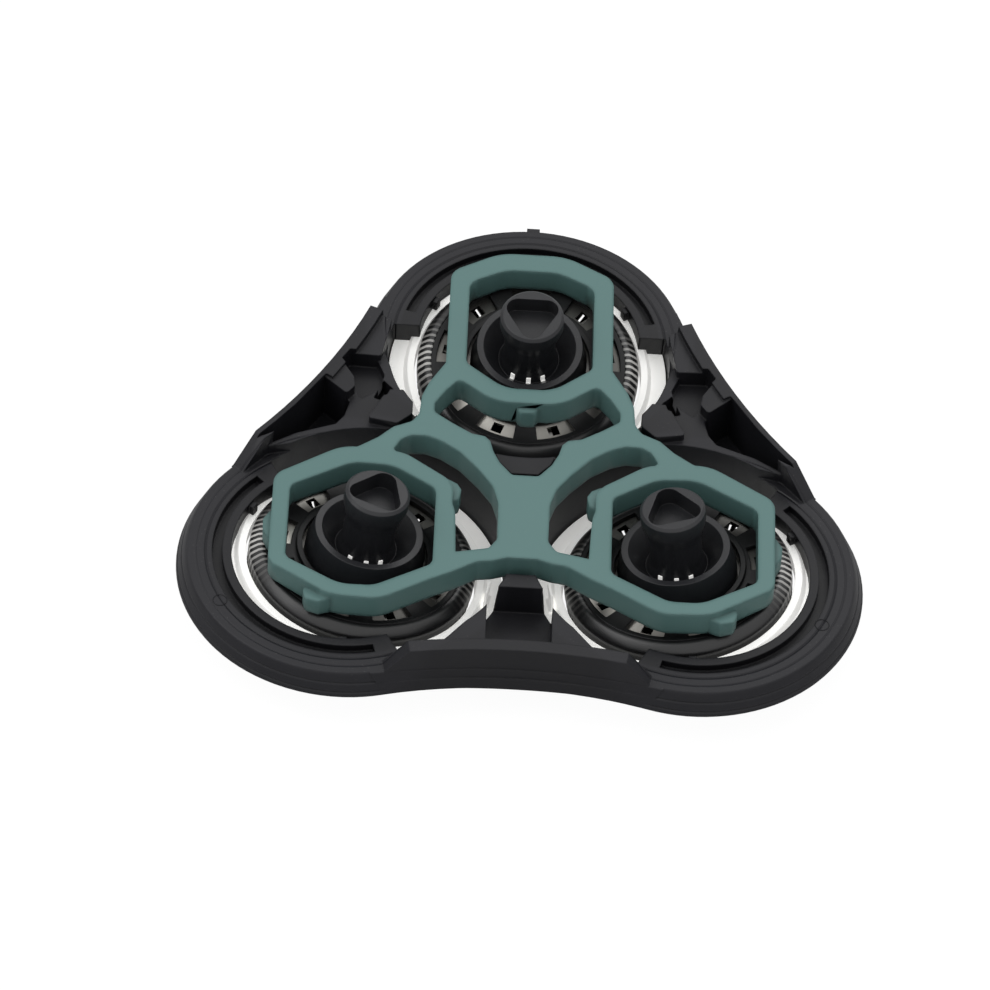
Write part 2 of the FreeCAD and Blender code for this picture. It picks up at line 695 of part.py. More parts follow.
def retaining_frame(doc):
    body = make_body(doc, "retaining_frame")
    sketch = sketch_on(body, "arms_outline", height=size.hub_top)
    rounded(sketch, mirrored(WEB_SIDE))
    pad(body, "arms", sketch, size.retainer_thickness)
    top = size.hub_top + size.retainer_thickness
    point = sketch_on(body, "point_outline", height=top)
    rounded(point, mirrored(POINT_SIDE))
    pocket(body, "point", point)
    for side_name, sign in (("left", -1), ("right", 1)):
        lens = sketch_on(body, f"lens_outline_{side_name}", height=top)
        rounded(lens, [(sign * across, up, radius) for across, up, radius in LENS])
        pocket(body, f"lens_{side_name}", lens)
    for head in HEADS:
        loop = sketch_on(body, f"loop_outline_{head}", height=size.hub_top)
        rounded(loop, looped(head, TOP_LOOP if head == "top" else SIDE_LOOP))
        pad(body, f"loop_{head}", loop, size.retainer_thickness)
        for step, corners in enumerate(TOP_BUMPS if head == "top" else SIDE_BUMPS):
            bump = sketch_on(body, f"bump_outline_{head}_{step}", height=size.hub_top)
            rounded(bump, looped(head, corners))
            pad(body, f"bump_{head}_{step}", bump, size.retainer_thickness - size.bump_drop)
    for head in HEADS:
        hole = sketch_on(body, f"loop_hole_{head}", height=top)
        rounded(hole, looped(head, TOP_HOLE if head == "top" else SIDE_HOLE))
        pocket(body, f"hole_{head}", hole)
    under = sketch_on(body, "under_outline", height=size.cap_top + size.under_clearance,
                      turn=90, reach=size.head_reach, lean=size.head_lean)
    circle(under, size.cap_radius + size.run_gap)
    relief = pocket(body, "under", under)
    polar(body, "reliefs", [relief], LOBES)
    return body


# Pieces of one head, each about the head's own axis.

def skin_ring(doc, head, yaw):
    body = head_body(doc, f"skin_ring_{head}", yaw)
    revolve(body, "ring", [
        (size.ring_inner, -size.ring_face),
        (size.ring_boss - size.cap_wall, -size.ring_face),
        (size.ring_boss, -size.ring_face + size.cap_wall),
        (size.ring_boss, -size.ring_flange_under),
        (size.ring_flange, -size.ring_flange_under),
        (size.ring_flange, -size.ring_flange_top),
        (size.ring_lip + size.cap_wall, -size.ring_flange_top),
        (size.ring_lip, -size.ring_lip_top),
        (size.ring_inner, -size.ring_lip_top),
    ])
    return body


def cap(doc, head, yaw):
    """Steel guard with a rounded face edge and slots that run over it and up the side."""
    body = head_body(doc, f"cap_{head}", yaw)
    wall = size.cap_wall
    revolve(body, "shell", [
        (size.cap_eye, -size.cap_face),
        (size.cap_face_radius, -size.cap_face),
        (size.cap_radius, -size.cap_face + size.cap_shoulder),
        (size.cap_radius, 0),
        (size.cap_top_radius, size.cap_top),
        (size.cap_top_radius - wall, size.cap_top),
        (size.cap_radius - wall, 0),
        (size.cap_radius - wall, -size.cap_face + size.cap_shoulder),
        (size.cap_face_radius - wall / 2, -size.cap_face + wall),
        (size.cap_eye, -size.cap_face + wall),
    ])
    sketch = sketch_on(body, "slot_outline", height=-(size.cap_face + wall))
    outline(sketch, [(size.slot_start, -size.slot_width / 2),
                     (size.cap_radius + wall, -size.slot_width / 2),
                     (size.cap_radius + wall, size.slot_width / 2),
                     (size.slot_start, size.slot_width / 2)])
    slot = pocket(body, "slot", sketch, size.cap_face + wall + size.slot_end, upward=True)
    polar(body, "slots", [slot], size.slot_count)
    return body


def cap_inlay(doc, head, yaw):
    body = head_body(doc, f"cap_inlay_{head}", yaw)
    edge = size.cap_eye - size.fit_gap
    revolve(body, "inlay", [
        (0, -size.cap_face),
        (edge, -size.cap_face),
        (edge, -size.cap_face + size.inlay_thickness),
        (size.inlay_boss_radius, -size.cap_face + size.inlay_thickness),
        (size.inlay_boss_radius, -size.cap_face + size.inlay_thickness + size.inlay_boss),
        (0, -size.cap_face + size.inlay_thickness + size.inlay_boss),
    ])
    return body


def cap_holder(doc, head, yaw):
    """Black carrier inside the cap: a side wall, a windowed plate and a collar round the drum."""
    body = head_body(doc, f"cap_holder_{head}", yaw)
    inner = size.drum_radius + size.run_gap
    side = size.cap_radius - size.cap_wall - size.fit_gap
    crown = size.cap_top_radius - size.cap_wall - size.fit_gap
    under = size.cap_top - size.holder_plate
    revolve(body, "carrier", [
        (inner, size.collar_top),
        (size.collar_outer, size.collar_top),
        (size.collar_outer, size.cap_top),
        (crown, size.cap_top),
        (side, 0),
        (side, -size.holder_depth),
        (side - size.holder_wall, -size.holder_depth),
        (side - size.holder_wall, 0),
        (crown - size.fit_gap, under),
        (inner, under),
    ])
    sketch = sketch_on(body, "window_outline", height=size.collar_top)
    sector(sketch, SIZES["window_inner"], SIZES["window_outer"], SIZES["window_angle"] / 2)
    window = pocket(body, "window", sketch)
    polar(body, "windows", [window], size.window_count)
    return body


def lock_plate(doc, head, yaw):
    """Steel plate under the carrier's windows, with a small square hole in each."""
    body = head_body(doc, f"lock_plate_{head}", yaw)
    top = size.cap_top - size.holder_plate
    inner = size.drum_radius + size.run_gap
    revolve(body, "plate", [
        (inner, top - size.plate_thickness),
        (size.plate_outer, top - size.plate_thickness),
        (size.plate_outer, top),
        (inner, top),
    ])
    half = size.plate_hole / 2
    sketch = sketch_on(body, "hole_outline", height=top)
    outline(sketch, [(size.plate_hole_reach - half, -half), (size.plate_hole_reach + half, -half),
                     (size.plate_hole_reach + half, half), (size.plate_hole_reach - half, half)])
    hole = pocket(body, "hole", sketch)
    polar(body, "holes", [hole], size.window_count)
    return body


def cutter(doc, head, yaw):
    """Steel cutter: a disc with arms, each bent down into a blade."""
    body = head_body(doc, f"cutter_{head}", yaw)
    revolve(body, "disc", [
        (size.cutter_eye, -size.cutter_top - size.cutter_sheet),
        (size.cutter_disc, -size.cutter_top - size.cutter_sheet),
        (size.cutter_disc, -size.cutter_top),
        (size.cutter_eye, -size.cutter_top),
    ])
    foot = -(size.cap_face - size.cap_wall - size.blade_gap)
    arm_sketch = sketch_on(body, "arm_outline", height=-size.cutter_top - size.cutter_sheet)
    outline(arm_sketch, [(size.blade_inner, 0), (size.blade_outer, 0),
                         (size.blade_outer, size.blade_arm), (size.blade_inner, size.blade_arm)])
    arm = pad(body, "arm", arm_sketch, size.cutter_sheet)
    blade_sketch = sketch_on(body, "blade_outline", height=foot)
    outline(blade_sketch, [(size.cutter_disc + size.cap_wall, 0), (size.blade_outer, 0),
                           (size.blade_outer, size.blade_thickness),
                           (size.cutter_disc + size.cap_wall, size.blade_thickness)])
    blade = pad(body, "blade", blade_sketch, -size.cutter_top - foot)
    polar(body, "blades", [arm, blade], size.blade_count)
    return body


def coupling(doc, head, yaw, spin):
    """Black drum with an open dish, and a post that ends in the cup of the drive socket."""
    body = head_body(doc, f"coupling_{head}", yaw)
    revolve(body, "post", [
        (0, -size.cutter_top),
        (size.drum_radius, -size.cutter_top),
        (size.drum_radius, size.drum_top),
        (size.skirt_radius, size.skirt_top),
        (size.skirt_radius - size.skirt_wall, size.skirt_top),
        (size.dish_root, size.dish_floor),
        (size.neck_radius, size.dish_floor + (size.dish_root - size.neck_radius) * 3),
        (size.neck_radius, size.neck_top),
        (size.cup_radius, size.cup_under),
        (size.cup_radius, size.cup_top - size.cup_bevel),
        (size.cup_radius - size.cup_bevel, size.cup_top),
        (0, size.cup_top),
    ])
    sketch = sketch_on(body, "socket_outline", height=size.cup_top)
    corners = [math.radians(spin + turn) for turn in (0, 120, 240)]
    reach = SIZES["socket_radius"] + SIZES["socket_corner"]  # a 60 degree corner loses its radius
    rounded(sketch, [(reach * math.cos(turn), reach * math.sin(turn), SIZES["socket_corner"])
                     for turn in corners])
    pocket(body, "socket", sketch, size.socket_depth)
    return body


def build(doc):
    make_sheet(doc)
    bodies = [head_frame(doc), retaining_frame(doc)]
    for head, (yaw, spin) in HEADS.items():
        for piece in (skin_ring, cap, cap_inlay, cap_holder, lock_plate, cutter):
            bodies.append(piece(doc, head, yaw))
        bodies.append(coupling(doc, head, yaw, spin))
    doc.recompute()
    return bodies


def check_tree(doc, bodies):
    """Stop if a feature failed, or a cut or pad left the shape before it unchanged."""
    for item in doc.Objects:
        if "Invalid" in item.State or "Error" in item.State:
            raise RuntimeError(f"{item.Name} did not recompute: {item.State}")
    for body in bodies:
        if body.Shape.isNull() or not body.Shape.isValid() or len(body.Shape.Solids) != 1:
            raise RuntimeError(f"{body.Label} isn't one valid solid")
        volume = 0.0
        for item in body.Group:
            if item.isDerivedFrom("PartDesign::Feature"):
                if abs(item.Shape.Volume - volume) < 1e-6:
                    raise RuntimeError(f"{item.Name} changed nothing in {body.Label}")
                volume = item.Shape.Volume


doc = FreeCAD.newDocument("rotary_shaver_head")
bodies = build(doc)
check_tree(doc, bodies)
os.makedirs("parts", exist_ok=True)
for body in bodies:
    body.Shape.exportStep(f"parts/{body.Label}.step")
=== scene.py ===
import math

import bpy
from mathutils import Matrix, Vector


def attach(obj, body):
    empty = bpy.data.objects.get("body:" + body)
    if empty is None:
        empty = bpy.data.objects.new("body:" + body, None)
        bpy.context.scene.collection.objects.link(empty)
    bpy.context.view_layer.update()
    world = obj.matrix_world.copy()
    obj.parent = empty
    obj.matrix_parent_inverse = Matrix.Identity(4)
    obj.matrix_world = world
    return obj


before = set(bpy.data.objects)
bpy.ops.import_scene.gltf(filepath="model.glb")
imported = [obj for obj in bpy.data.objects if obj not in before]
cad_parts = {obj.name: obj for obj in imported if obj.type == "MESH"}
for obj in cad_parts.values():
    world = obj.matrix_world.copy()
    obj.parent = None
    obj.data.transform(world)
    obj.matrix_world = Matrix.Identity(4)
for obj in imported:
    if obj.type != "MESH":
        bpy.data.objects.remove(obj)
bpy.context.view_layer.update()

# Rotary shaver head: finishes for its plastics and steels, and the fine detail of each head.
# Sizes of the part are in millimetres, and MM turns them into metres. Shader values, the floor
# and the lamps are in metres. Angles are in degrees.

MM = 0.001

# Layout of the part: the hub, the turn of each head about it, and the reach of lobes and heads.
HUB = Vector((0, -4.49, 3.683))
HEADS = {"top": 90, "left": 210, "right": 330}
LOBE_REACH = 17.96
RIM_TOP = 2.15
HEAD_REACH = 16.25
HEAD_LEVEL = 0.3
HEAD_LEAN = 8.5

# Camera, as fitted to the photograph: its place is given from the hub, its lens in pixels.
PHOTO_SIZE = 990
PHOTO_MIDDLE = (522.7, 502.02)
CAMERA_DISTANCE = 522.44
CAMERA_ELEVATION = 48.03
CAMERA_AZIMUTH = -1.74
CAMERA_ROLL = -4.52
FOCAL_PIXELS = 5794.43
SENSOR_WIDTH = 36.0
CLIP_RANGE = (0.01, 20)

# Studio: the floor's own white and its share of what the camera sees, the strength of the sky
# from the horizon up, and each lamp's place, size and watts.
FLOOR_HALF_WIDTH = 3.0
FLOOR_GLOW = 1.12
FLOOR_GLOW_SHARE = 0.85
FLOOR_PAPER = (0.5, 0.5, 0.5, 1)
WHITE = (1, 1, 1, 1)
SKY_HEIGHTS = (0.0, 0.75)
SKY_STRENGTHS = (0.3, 1.25)
LAMPS = {"key_lamp": ((-0.45, 0.0, 0.6), 0.4, 0.9), "back_lamp": ((0.25, 0.5, 0.55), 0.5, 0.7)}

# Shader groups: how sharply rubbed edges and their painted highlight show, where dust settles,
# how fast the painted shade in hollows deepens, and how narrow the painted reflection on one side
# and the painted glints on the ticks of a head are.
RUB_AND_HIGHLIGHT_GAIN = 6.0
DUST_PATCHES_PER_METRE = 260
DUST_PATCH_LEVEL = 0.55
DUST_ON_WALLS = 0.15
HOLLOW_POWER = 1.6
SIDE_POWER = 3.0
TICK_SHARE = 0.42
TICK_SIDE_POWER = 26.0

# Colours, gloss and relief of the finishes.
MOTTLE_SHARE = 0.35
# Pale edges: partly rubbing, partly a painted highlight.
RUBBED_AND_HIGHLIT_GAIN = 2.2
RUBBED_AND_HIGHLIT_LIFT = 0.03
DULL_STEEL = 0.86
# Painted reflection on steel: how narrowly sideways faces, and how strongly downward faces, take
# it.
SIDEWAYS_POWER = 10.0
DOWN_GAIN = -2.0
GRAIN_RELIEF = (0.5, 0.00002)
LINE_RELIEF = (0.35, 0.000004)
RING_RELIEF = (1.0, 0.0001)
DUST = (0.45, 0.44, 0.42)
# Painted shade: the black that the lips and wings of the frame are darkened towards.
LIP_SHADE_BLACK = (0.0035, 0.0035, 0.0045)
BRIGHT_STEEL = (0.98, 0.975, 0.95)
# The cap's steel is painted near black as a dark reflection of the frame, and pale on faces
# looking sideways or down as a painted reflection.
CAP_STEEL_DARK_REFLECTION = (0.014, 0.014, 0.014)
CAP_STEEL_SIDE_REFLECTION = (0.5, 0.49, 0.47)
CUTTER_STEEL = (0.3, 0.295, 0.28)
PLATE_STEEL = (0.12, 0.118, 0.11)
# Painted reflection, brightest on one side of each lock plate.
PLATE_PAINTED_REFLECTION = (0.62, 0.6, 0.55)
# Painted glint on the slot ticks at a cap's left and right sides.
TICK_GLINT = (0.5, 0.49, 0.47)
SATIN_ROUGHNESS = (0.3, 0.45)
RING_ROUGHNESS = (0.45, 0.6)
RING_METAL = 0.15
# Painted glow: emission on the bright rings, tabs and ears, which are no lamps.
RING_PAINTED_GLOW = 0.28

# Painted shade, as a share of full tone, and height of relief rings along the distance from a
# lobe's middle, where 0 is 10 mm and 1 is 20 mm.
LIP_SHADE_STOPS = [(0.0, 0.45), (0.1, 0.45), (0.12, 0.3), (0.19, 0.35), (0.21, 0.85), (0.3, 1.0),
             (0.49, 1.0), (0.54, 0.62), (1.0, 0.55)]
RIM_RINGS = [(0.0, 1.0), (0.235, 1.0), (0.25, 0.0), (0.265, 1.0), (0.325, 0.9), (0.335, 0.3),
             (0.35, 0.9), (1.0, 1.0)]

# Mesh clean-up: distance of the weld, and the angles that count as flat, bevelled and sharp.
WELD_DISTANCE = 0.001
FLAT_ANGLE = 0.6
BEVEL_ANGLE = 28
SHARP_ANGLE = 35

# How far edges are rounded.
FRAME_EDGE = 0.12
RETAINER_EDGE = 0.34
RING_EDGE = 0.06
CAP_PART_EDGE = 0.08
TAB_EDGE = 0.05
PIN_MARK_EDGE = 0.01

# Which way the painted reflection on each lock plate points.
PLATE_REFLECTION_WAYS = {"top": (-0.6, -1.0), "left": (-1.0, 0.0), "right": (-1.0, -0.7)}

# Marks of the mould's pins on the rims: places from the hub, and a ring's radius and height.
PIN_MARKS = {"left": (-26.36, -15.53), "right": (26.78, -14.51)}
PIN_MARK = [(0.58, -0.02), (0.58, 0.03), (0.62, 0.045), (0.66, 0.03), (0.66, -0.02)]
PIN_MARK_SEGMENTS = 40

# Rolled edge of a cap, over the upper ends of its slots: radius and height about the head's axis.
CAP_EDGE = [(8.9, 0.7), (8.9, 0.81), (9.0, 0.88), (9.3, 0.88), (9.55, 0.77), (10.02, 0.34),
            (10.19, 0.12), (10.22, -0.1), (10.22, -0.9), (10.1, -0.9), (9.8, 0.25)]

# Bent strips about a head's axis: path as radius and height, width, thickness and turns. The
# tabs of the cutter are turned from the side that faces the camera.
TAB = {"path": [(2.72, 2.4), (2.76, 1.95), (2.9, 1.78), (3.3, 1.9)], "width": 0.42,
       "thickness": 0.14}
TAB_TURNS = (-31, 1, 29, 149, 181, 209)
EAR = {"path": [(11.9, -1.0), (11.62, -0.9), (11.55, -0.7), (11.5, 0.95)], "width": 1.7,
       "thickness": 0.25}
EAR_TURNS = (139, -139)
CAMERA_SIDE = 270


# Camera, floor and light

def make_camera():
    """Camera at the photograph's place, turned about its own line of sight by the roll."""
    azimuth, elevation, roll = (math.radians(angle) for angle in
                                (CAMERA_AZIMUTH, CAMERA_ELEVATION, CAMERA_ROLL))
    back = Vector((math.sin(azimuth) * math.cos(elevation),
                   -math.cos(azimuth) * math.cos(elevation), math.sin(elevation)))
    level = Vector((math.cos(azimuth), math.sin(azimuth), 0))
    upright = back.cross(level)
    right = level * math.cos(roll) - upright * math.sin(roll)
    up = level * math.sin(roll) + upright * math.cos(roll)
    data = bpy.data.cameras.new("photo_camera")
    data.sensor_width = SENSOR_WIDTH
    data.lens = FOCAL_PIXELS / PHOTO_SIZE * SENSOR_WIDTH
    data.shift_x = (PHOTO_SIZE / 2 - PHOTO_MIDDLE[0]) / PHOTO_SIZE
    data.shift_y = (PHOTO_MIDDLE[1] - PHOTO_SIZE / 2) / PHOTO_SIZE
    data.clip_start, data.clip_end = CLIP_RANGE
    camera = bpy.data.objects.new("photo_camera", data)
    bpy.context.scene.collection.objects.link(camera)
    camera.matrix_world = Matrix.Translation((HUB + back * CAMERA_DISTANCE) * MM) @ Matrix(
        (right, up, back)).transposed().to_4x4()
    bpy.context.scene.camera = camera


def lamp(name, place, size, watts):
    """Soft square lamp that looks at the part."""
    data = bpy.data.lights.new(name, "AREA")
    data.size = size
    data.energy = watts
    light = bpy.data.objects.new(name, data)
    bpy.context.scene.collection.objects.link(light)
    light.location = place
    light.rotation_euler = (-Vector(place)).to_track_quat("-Z", "Y").to_euler()


def plain_material(name):
    """Empty node material, with its nodes and links."""
    material = bpy.data.materials.new(name)
    material.use_nodes = True
    material.node_tree.nodes.clear()
    return material, material.node_tree.nodes, material.node_tree.links


def blended_shader(nodes, links, share, first, second):
    """Shader between two shaders."""
    mix = nodes.new("ShaderNodeMixShader")
    links.new(share, mix.inputs["Fac"])
    links.new(first.outputs[0], mix.inputs[1])
    links.new(second.outputs[0], mix.inputs[2])
    return mix


def make_floor():
    """White floor that keeps a soft shadow.

    Seen from below, the floor is clear, so that the skin side shows.
    """
    material, nodes, links = plain_material("studio_white")
    share = nodes.new("ShaderNodeMath")
    share.operation = "MULTIPLY"
    share.inputs[1].default_value = FLOOR_GLOW_SHARE
    links.new(nodes.new("ShaderNodeLightPath").outputs["Is Camera Ray"], share.inputs[0])
    paper = nodes.new("ShaderNodeBsdfDiffuse")
    paper.inputs["Color"].default_value = FLOOR_PAPER
    white = nodes.new("ShaderNodeEmission")
    white.inputs["Color"].default_value = WHITE
    white.inputs["Strength"].default_value = FLOOR_GLOW
    above = blended_shader(nodes, links, share.outputs[0], paper, white)
    surface = blended_shader(nodes, links,
                             nodes.new("ShaderNodeNewGeometry").outputs["Backfacing"],
                             above, nodes.new("ShaderNodeBsdfTransparent"))
    links.new(surface.outputs[0], nodes.new("ShaderNodeOutputMaterial").inputs["Surface"])
    sheet = bpy.data.meshes.new("floor")
    ends = [-FLOOR_HALF_WIDTH, FLOOR_HALF_WIDTH]
    sheet.from_pydata([(x, y, 0) for y in ends for x in ends], [], [(0, 1, 3, 2)])
    floor = bpy.data.objects.new("floor", sheet)
    bpy.context.scene.collection.objects.link(floor)
    floor.data.materials.append(material)


def make_sky():
    """Sky that is palest overhead, and plain white to the camera."""
    world = bpy.data.worlds.new("studio_sky")
    bpy.context.scene.world = world
    world.use_nodes = True
    nodes, links = world.node_tree.nodes, world.node_tree.links
    sky = nodes["Background"]
    sky.inputs["Color"].default_value = WHITE
    height = nodes.new("ShaderNodeSeparateXYZ")
    links.new(nodes.new("ShaderNodeTexCoord").outputs["Generated"], height.inputs[0])
    rise = nodes.new("ShaderNodeMapRange")
    links.new(height.outputs["Z"], rise.inputs["Value"])
    for labels, values in ((("From Min", "From Max"), SKY_HEIGHTS),
                           (("To Min", "To Max"), SKY_STRENGTHS)):
        for label, value in zip(labels, values):
            rise.inputs[label].default_value = value
    links.new(rise.outputs["Result"], sky.inputs["Strength"])
    white = nodes.new("ShaderNodeBackground")
    white.inputs["Color"].default_value = WHITE
    seen = nodes.new("ShaderNodeLightPath").outputs["Is Camera Ray"]
    mix = blended_shader(nodes, links, seen, sky, white)
    links.new(mix.outputs[0], nodes["World Output"].inputs["Surface"])


# Shader groups that several finishes share

def shader_group(name, inputs, outputs):
    """Node group with float inputs given as name and value, and outputs as name and kind."""
    group = bpy.data.node_groups.new(name, "ShaderNodeTree")
    for label, value in inputs.items():
        socket = group.interface.new_socket(label, in_out="INPUT", socket_type="NodeSocketFloat")
        socket.default_value = value
    for label, kind in outputs.items():
        group.interface.new_socket(label, in_out="OUTPUT", socket_type=kind)
    return group, group.nodes.new("NodeGroupInput"), group.nodes.new("NodeGroupOutput")


def calculation(nodes, links, operation, first, second=None, clamp=False):
    """Math node fed by sockets or numbers."""
    node = nodes.new("ShaderNodeMath")
    node.operation = operation
    node.use_clamp = clamp
    for slot, source in enumerate((first, second)):
        if source is None:
            continue
        if isinstance(source, (int, float)):
            node.inputs[slot].default_value = source
        else:
            links.new(source, node.inputs[slot])
    return node.outputs[0]


def moulded_grain():
    """Fine eroded mould surface, with a slow unevenness under it."""
    group, enter, leave = shader_group(
        "moulded_grain", {"Grain per metre": 9000.0, "Wave per metre": 350.0, "Wave share": 0.35},
        {"Height": "NodeSocketFloat", "Mottle": "NodeSocketFloat"})
    nodes, links = group.nodes, group.links
    place = nodes.new("ShaderNodeTexCoord").outputs["Object"]
    fine = nodes.new("ShaderNodeTexNoise")
    fine.inputs["Detail"].default_value = 3
    links.new(place, fine.inputs["Vector"])
    links.new(enter.outputs["Grain per metre"], fine.inputs["Scale"])
    wave = nodes.new("ShaderNodeTexNoise")
    wave.inputs["Detail"].default_value = 2
    links.new(place, wave.inputs["Vector"])
    links.new(enter.outputs["Wave per metre"], wave.inputs["Scale"])
    slow = calculation(nodes, links, "MULTIPLY", wave.outputs["Fac"], enter.outputs["Wave share"])
    links.new(calculation(nodes, links, "ADD", fine.outputs["Fac"], slow), leave.inputs["Height"])
    links.new(wave.outputs["Fac"], leave.inputs["Mottle"])
    return group


def edge_wear_and_highlight():
    """Mask of rubbed edges with a painted highlight: 1 along edges and 0 on flat faces, broken up
    by a slow noise.
    """
    group, enter, leave = shader_group(
        "edge_wear_and_highlight", {"Reach": 0.00012, "Amount": 1.0, "Breaks per metre": 700.0},
        {"Mask": "NodeSocketFloat", "Soft normal": "NodeSocketVector"})
    nodes, links = group.nodes, group.links
    soft = nodes.new("ShaderNodeBevel")
    soft.samples = 4
    links.new(enter.outputs["Reach"], soft.inputs["Radius"])
    links.new(soft.outputs[0], leave.inputs["Soft normal"])
    hard = nodes.new("ShaderNodeNewGeometry")
    dot = nodes.new("ShaderNodeVectorMath")
    dot.operation = "DOT_PRODUCT"
    links.new(soft.outputs[0], dot.inputs[0])
    links.new(hard.outputs["Normal"], dot.inputs[1])
    bent = calculation(nodes, links, "SUBTRACT", 1.0, dot.outputs["Value"])
    strong = calculation(nodes, links, "MULTIPLY", bent, RUB_AND_HIGHLIGHT_GAIN, clamp=True)
    breaks = nodes.new("ShaderNodeTexNoise")
    links.new(nodes.new("ShaderNodeTexCoord").outputs["Object"], breaks.inputs["Vector"])
    links.new(enter.outputs["Breaks per metre"], breaks.inputs["Scale"])
    ragged = calculation(nodes, links, "MULTIPLY", strong, breaks.outputs["Fac"])
    links.new(calculation(nodes, links, "MULTIPLY", ragged, enter.outputs["Amount"], clamp=True),
              leave.inputs["Mask"])
    return group


def fine_dust():
    """Mask of sparse specks, thicker on faces that look up."""
    group, enter, leave = shader_group(
        "fine_dust", {"Specks per metre": 2600.0, "Size": 0.12, "Amount": 0.5},
        {"Mask": "NodeSocketFloat"})
    nodes, links = group.nodes, group.links
    place = nodes.new("ShaderNodeTexCoord").outputs["Object"]
    cells = nodes.new("ShaderNodeTexVoronoi")
    links.new(place, cells.inputs["Vector"])
    links.new(enter.outputs["Specks per metre"], cells.inputs["Scale"])
    near = calculation(nodes, links, "LESS_THAN", cells.outputs["Distance"],
                       enter.outputs["Size"])
    patch = nodes.new("ShaderNodeTexNoise")
    patch.inputs["Scale"].default_value = DUST_PATCHES_PER_METRE
    links.new(place, patch.inputs["Vector"])
    rare = calculation(nodes, links, "GREATER_THAN", patch.outputs["Fac"], DUST_PATCH_LEVEL)
    both = calculation(nodes, links, "MULTIPLY", near, rare)
    facing = nodes.new("ShaderNodeSeparateXYZ")
    links.new(nodes.new("ShaderNodeNewGeometry").outputs["Normal"], facing.inputs[0])
    up = calculation(nodes, links, "MAXIMUM", facing.outputs["Z"], DUST_ON_WALLS)
    settled = calculation(nodes, links, "MULTIPLY", both, up)
    links.new(calculation(nodes, links, "MULTIPLY", settled, enter.outputs["Amount"], clamp=True),
              leave.inputs["Mask"])
    return group


def turned_lines():
    """Height of fine rings left by turning or brushing round a head's own leaning axis."""
    group, enter, leave = shader_group(
        "turned_lines", {"Lines per metre": 14000.0, "Yaw": 90.0},
        {"Height": "NodeSocketFloat"})
    nodes, links = group.nodes, group.links
    place = nodes.new("ShaderNodeTexCoord").outputs["Object"]
    angle = calculation(nodes, links, "RADIANS", enter.outputs["Yaw"])
    middle = nodes.new("ShaderNodeCombineXYZ")
    across, along = (calculation(nodes, links, "MULTIPLY",
                                 calculation(nodes, links, wave, angle), HEAD_REACH * MM)
                     for wave in ("COSINE", "SINE"))
    links.new(across, middle.inputs["X"])
    links.new(calculation(nodes, links, "ADD", along, HUB.y * MM), middle.inputs["Y"])
    middle.inputs["Z"].default_value = (HUB.z + HEAD_LEVEL) * MM
    away = nodes.new("ShaderNodeVectorMath")
    away.operation = "DISTANCE"
    links.new(place, away.inputs[0])
    links.new(middle.outputs[0], away.inputs[1])
    rings = calculation(nodes, links, "MULTIPLY", away.outputs["Value"],
                        enter.outputs["Lines per metre"])
    line = nodes.new("ShaderNodeTexNoise")
    line.noise_dimensions = "1D"
    line.inputs["Scale"].default_value = 1.0
    line.inputs["Detail"].default_value = 3
    links.new(rings, line.inputs["W"])
    links.new(line.outputs["Fac"], leave.inputs["Height"])
    return group


def painted_hollow_shade():
    """Factor of painted shade: 1 on open faces, falling in the hollows of a moulding, where the
    colour is darkened as if shaded.
    """
    group, enter, leave = shader_group(
        "painted_hollow_shade", {"Reach": 0.003, "Deepest": 0.35}, {"Factor": "NodeSocketFloat"})
    nodes, links = group.nodes, group.links
    near = nodes.new("ShaderNodeAmbientOcclusion")
    near.samples = 4
    links.new(enter.outputs["Reach"], near.inputs["Distance"])
    open_share = calculation(nodes, links, "POWER", near.outputs["AO"], HOLLOW_POWER)
    rest = calculation(nodes, links, "SUBTRACT", 1.0, enter.outputs["Deepest"])
    lit = calculation(nodes, links, "MULTIPLY", open_share, rest)
    links.new(calculation(nodes, links, "ADD", lit, enter.outputs["Deepest"]),
              leave.inputs["Factor"])
    return group


def lobe_distance():
    """How far a place lies from the middle of the nearest lobe: 0 at 10 mm and 1 at 20 mm."""
    group, enter, leave = shader_group("lobe_distance", {"Start": 0.01, "Length": 0.01},
                                       {"Share": "NodeSocketFloat"})
    nodes, links = group.nodes, group.links
    flat = nodes.new("ShaderNodeVectorMath")
    flat.operation = "MULTIPLY"
    flat.inputs[1].default_value = (1, 1, 0)
    links.new(nodes.new("ShaderNodeTexCoord").outputs["Object"], flat.inputs[0])
    nearest = None
    for yaw in HEADS.values():
        away = nodes.new("ShaderNodeVectorMath")
        away.operation = "DISTANCE"
        turn = math.radians(yaw)
        away.inputs[1].default_value = (LOBE_REACH * math.cos(turn) * MM,
                                        (LOBE_REACH * math.sin(turn) + HUB.y) * MM, 0)
        links.new(flat.outputs[0], away.inputs[0])
        here = away.outputs["Value"]
        nearest = here if nearest is None else calculation(nodes, links, "MINIMUM", nearest, here)
    beyond = calculation(nodes, links, "SUBTRACT", nearest, enter.outputs["Start"])
    links.new(calculation(nodes, links, "DIVIDE", beyond, enter.outputs["Length"], clamp=True),
              leave.inputs["Share"])
    return group


